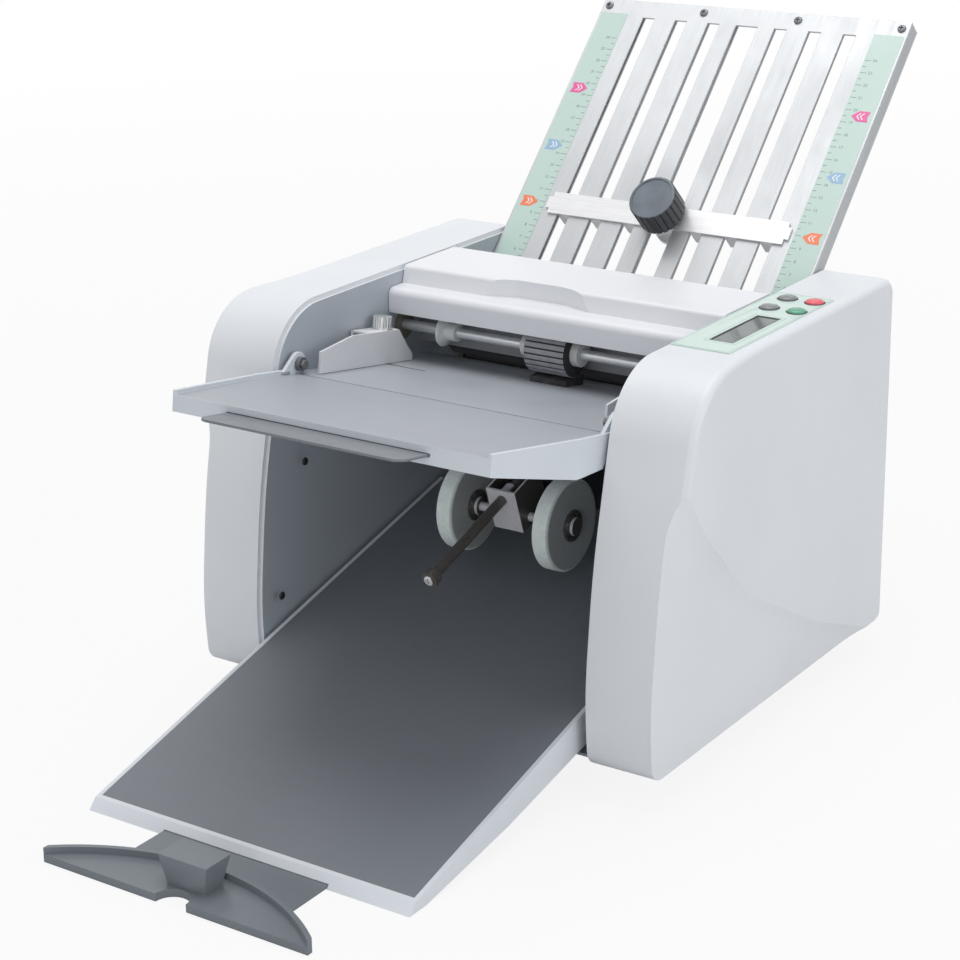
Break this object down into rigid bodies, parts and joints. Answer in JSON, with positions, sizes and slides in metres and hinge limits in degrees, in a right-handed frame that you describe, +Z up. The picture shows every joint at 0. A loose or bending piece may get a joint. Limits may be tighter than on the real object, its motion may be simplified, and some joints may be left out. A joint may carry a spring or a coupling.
{
  "type": "paper folding machine",
  "caption": "Desk paper folder: sloping feed table with side guides, fold rollers, slotted upper fold plate with sliding stop, and a delivery tray with press wheels.",
  "frame": {"origin": "on the desk under the middle of the machine's bounding box", "axes": "+X to the operator's right, +Y from the delivery end to the back, +Z up"},
  "size_m": [0.358, 0.6646, 0.4],
  "materials": {
    "housing_shell": "fine satin texture",
    "frame_steel": "satin paint",
    "table_steel": "satin paint",
    "feed_table": "satin",
    "table_extension": "satin",
    "plate_steel": "brushed",
    "rail_steel": "satin",
    "stop_bar": "brushed",
    "knob_plastic": "satin",
    "guide_steel": "brushed",
    "screw_chrome": "knurled bright",
    "shaft_steel": "ground bright",
    "roller_rubber": "matt",
    "feed_rubber": "matt",
    "collar_plastic": "satin",
    "gear_plastic": "natural",
    "bush_brass": "sintered",
    "belt_rubber": "matt",
    "motor_metal": "satin",
    "pulley_metal": "machined",
    "guide_dark": "satin",
    "foot_rubber": "matt",
    "panel_film": "satin film",
    "display": "clear window",
    "board": "lacquered",
    "inlet_plastic": "satin",
    "press_black": "gloss black",
    "bracket_steel": "bright",
    "wheel_rubber": "soft matt",
    "tray_plastic": "fine texture",
    "tray_dark": "fine texture",
    "slider_plastic": "satin",
    "button_grey": "satin",
    "button_red": "satin",
    "button_green": "satin"
  },
  "bodies": {
    "housing": {"base_plate": "frame_steel", "left_side_frame": "frame_steel", "right_side_frame": "frame_steel", "tie_rods": "shaft_steel", "left_cover": "housing_shell", "right_cover": "housing_shell", "rear_cover": "housing_shell", "rubber_feet": "foot_rubber", "control_panel": "panel_film", "display_window": "display", "control_board": "board", "power_inlet": "inlet_plastic", "motor": "motor_metal", "drive_belt": "belt_rubber", "feed_belt": "belt_rubber", "feed_guide": "guide_dark", "inner_table": "table_steel", "separator_pad": "feed_rubber", "roller_bushes": "bush_brass", "table_pivot_bolts": "screw_chrome", "lower_fold_plate": "plate_steel", "press_shaft": "shaft_steel", "delivery_tray": "tray_plastic", "tray_surface": "tray_dark"},
    "roller_1": {"fold_roller_1": "roller_rubber", "roller_gear_1": "gear_plastic"},
    "roller_2": {"fold_roller_2": "roller_rubber", "roller_gear_2": "gear_plastic"},
    "roller_3": {"fold_roller_3": "roller_rubber", "roller_gear_3": "gear_plastic"},
    "roller_4": {"fold_roller_4": "roller_rubber", "roller_gear_4": "gear_plastic"},
    "feed": {"feed_shaft": "shaft_steel", "feed_roller": "feed_rubber", "feed_collars": "collar_plastic"},
    "motor_rotor": {"motor_pulley": "pulley_metal"},
    "upper_plate": {"upper_plate_front": "plate_steel", "upper_plate_back": "plate_steel", "plate_side_rails": "rail_steel"},
    "upper_stop": {"upper_stop_bar": "stop_bar"},
    "upper_knob": {"upper_stop_knob": "knob_plastic"},
    "lower_fold_stop": {"lower_stop": "stop_bar"},
    "lid": {"top_cover": "housing_shell"},
    "feed_table": {"front_table": "feed_table"},
    "feed_table_extension": {"table_extension": "table_extension"},
    "left_paper_guide": {"left_guide": "guide_steel"},
    "right_paper_guide": {"right_guide": "guide_steel"},
    "left_thumb_screw": {"left_guide_screw": "screw_chrome"},
    "right_thumb_screw": {"right_guide_screw": "screw_chrome"},
    "arm": {"press_arm": "press_black"},
    "carriage": {"wheel_bracket": "bracket_steel"},
    "left_wheel": {"left_press_wheel": "wheel_rubber"},
    "right_wheel": {"right_press_wheel": "wheel_rubber"},
    "stack_slider": {"tray_extension": "slider_plastic", "stack_stop": "slider_plastic"},
    "button_start": {"start_button": "button_green"},
    "button_stop": {"stop_button": "button_red"},
    "button_plus": {"plus_button": "button_grey"},
    "button_minus": {"minus_button": "button_grey"},
    "power_rocker": {"rocker_switch": "inlet_plastic"}
  },
  "joints": [
    {"name": "fold_roller_1_spin", "type": "hinge", "parent": "housing", "child": "roller_1", "pos_m": [0, 0.1178, 0.19952], "axis": [1, 0, 0], "continuous": true},
    {"name": "fold_roller_2_spin", "type": "hinge", "parent": "housing", "child": "roller_2", "pos_m": [0, 0.1396, 0.17848], "axis": [1, 0, 0], "continuous": true},
    {"name": "fold_roller_3_spin", "type": "hinge", "parent": "housing", "child": "roller_3", "pos_m": [0, 0.11237, 0.16519], "axis": [1, 0, 0], "continuous": true},
    {"name": "fold_roller_4_spin", "type": "hinge", "parent": "housing", "child": "roller_4", "pos_m": [0, 0.11448, 0.13497], "axis": [1, 0, 0], "continuous": true},
    {"name": "feed_spin", "type": "hinge", "parent": "housing", "child": "feed", "pos_m": [0, 0.063, 0.217], "axis": [1, 0, 0], "continuous": true},
    {"name": "motor_spin", "type": "hinge", "parent": "housing", "child": "motor_rotor", "pos_m": [0.11, 0.1227, 0.055], "axis": [1, 0, 0], "continuous": true},
    {"name": "upper_plate_lift", "type": "slide", "parent": "housing", "child": "upper_plate", "axis": [0, 0.6947, 0.7193], "range_m": [0, 0.06]},
    {"name": "upper_stop_slide", "type": "slide", "parent": "upper_plate", "child": "upper_stop", "axis": [0, 0.6947, 0.7193], "range_m": [-0.04, 0.135]},
    {"name": "upper_stop_knob_turn", "type": "hinge", "parent": "upper_stop", "child": "upper_knob", "pos_m": [0, 0.19564, 0.28178], "axis": [0, -0.7193, 0.6947], "range_deg": [-180, 180]},
    {"name": "lower_stop_slide", "type": "slide", "parent": "housing", "child": "lower_fold_stop", "axis": [0, 0.4384, -0.8988], "range_m": [-0.045, 0.017]},
    {"name": "top_cover_hinge", "type": "hinge", "parent": "housing", "child": "lid", "pos_m": [0, 0.1307, 0.245], "axis": [-1, 0, 0], "range_deg": [0, 80]},
    {"name": "feed_table_hinge", "type": "hinge", "parent": "housing", "child": "feed_table", "pos_m": [0, -0.0573, 0.221], "axis": [-1, 0, 0], "range_deg": [0, 95]},
    {"name": "table_extension_slide", "type": "slide", "parent": "feed_table", "child": "feed_table_extension", "axis": [0, -0.9871, 0.1599], "range_m": [-0.027, 0.055]},
    {"name": "left_guide_slide", "type": "slide", "parent": "housing", "child": "left_paper_guide", "axis": [1, 0, 0], "range_m": [0, 0.035]},
    {"name": "right_guide_slide", "type": "slide", "parent": "housing", "child": "right_paper_guide", "axis": [-1, 0, 0], "range_m": [0, 0.035]},
    {"name": "left_guide_screw_turn", "type": "hinge", "parent": "left_paper_guide", "child": "left_thumb_screw", "pos_m": [-0.1123, 0.02652, 0.22566], "axis": [0, 0.1599, 0.9871], "range_deg": [-180, 180]},
    {"name": "right_guide_screw_turn", "type": "hinge", "parent": "right_paper_guide", "child": "right_thumb_screw", "pos_m": [0.1123, 0.02652, 0.22566], "axis": [0, 0.1599, 0.9871], "range_deg": [-180, 180]},
    {"name": "press_arm_hinge", "type": "hinge", "parent": "housing", "child": "arm", "pos_m": [0, 0.0567, 0.1541], "axis": [-1, 0, 0], "range_deg": [-10, 25]},
    {"name": "press_carriage_slide", "type": "slide", "parent": "arm", "child": "carriage", "axis": [0, -0.9478, -0.319], "range_m": [-0.015, 0.06]},
    {"name": "left_wheel_spin", "type": "hinge", "parent": "carriage", "child": "left_wheel", "pos_m": [-0.0365, 0.01373, 0.12001], "axis": [1, 0, 0], "continuous": true},
    {"name": "right_wheel_spin", "type": "hinge", "parent": "carriage", "child": "right_wheel", "pos_m": [0.0365, 0.01373, 0.12001], "axis": [1, 0, 0], "continuous": true},
    {"name": "stack_stop_slide", "type": "slide", "parent": "housing", "child": "stack_slider", "axis": [0, 1, 0], "range_m": [-0.045, 0.02]},
    {"name": "power_rocker_tilt", "type": "hinge", "parent": "housing", "child": "power_rocker", "pos_m": [0.105, 0.1997, 0.051], "axis": [1, 0, 0], "range_deg": [-12, 0]},
    {"name": "start_button_press", "type": "slide", "parent": "housing", "child": "button_start", "axis": [0, 0, -1], "range_m": [0, 0.0015], "stiffness_N_per_m": 400, "springref_m": -0.0015},
    {"name": "stop_button_press", "type": "slide", "parent": "housing", "child": "button_stop", "axis": [0, 0, -1], "range_m": [0, 0.0015], "stiffness_N_per_m": 400, "springref_m": -0.0015},
    {"name": "plus_button_press", "type": "slide", "parent": "housing", "child": "button_plus", "axis": [0, 0, -1], "range_m": [0, 0.0015], "stiffness_N_per_m": 400, "springref_m": -0.0015},
    {"name": "minus_button_press", "type": "slide", "parent": "housing", "child": "button_minus", "axis": [0, 0, -1], "range_m": [0, 0.0015], "stiffness_N_per_m": 400, "springref_m": -0.0015}
  ],
  "couplings": [
    {"joint": "fold_roller_2_spin", "follows": "fold_roller_1_spin", "ratio": -1},
    {"joint": "fold_roller_3_spin", "follows": "fold_roller_1_spin", "ratio": 1},
    {"joint": "fold_roller_4_spin", "follows": "fold_roller_1_spin", "ratio": -1},
    {"joint": "feed_spin", "follows": "fold_roller_1_spin", "ratio": 1},
    {"joint": "motor_spin", "follows": "fold_roller_1_spin", "ratio": -1.75}
  ]
}
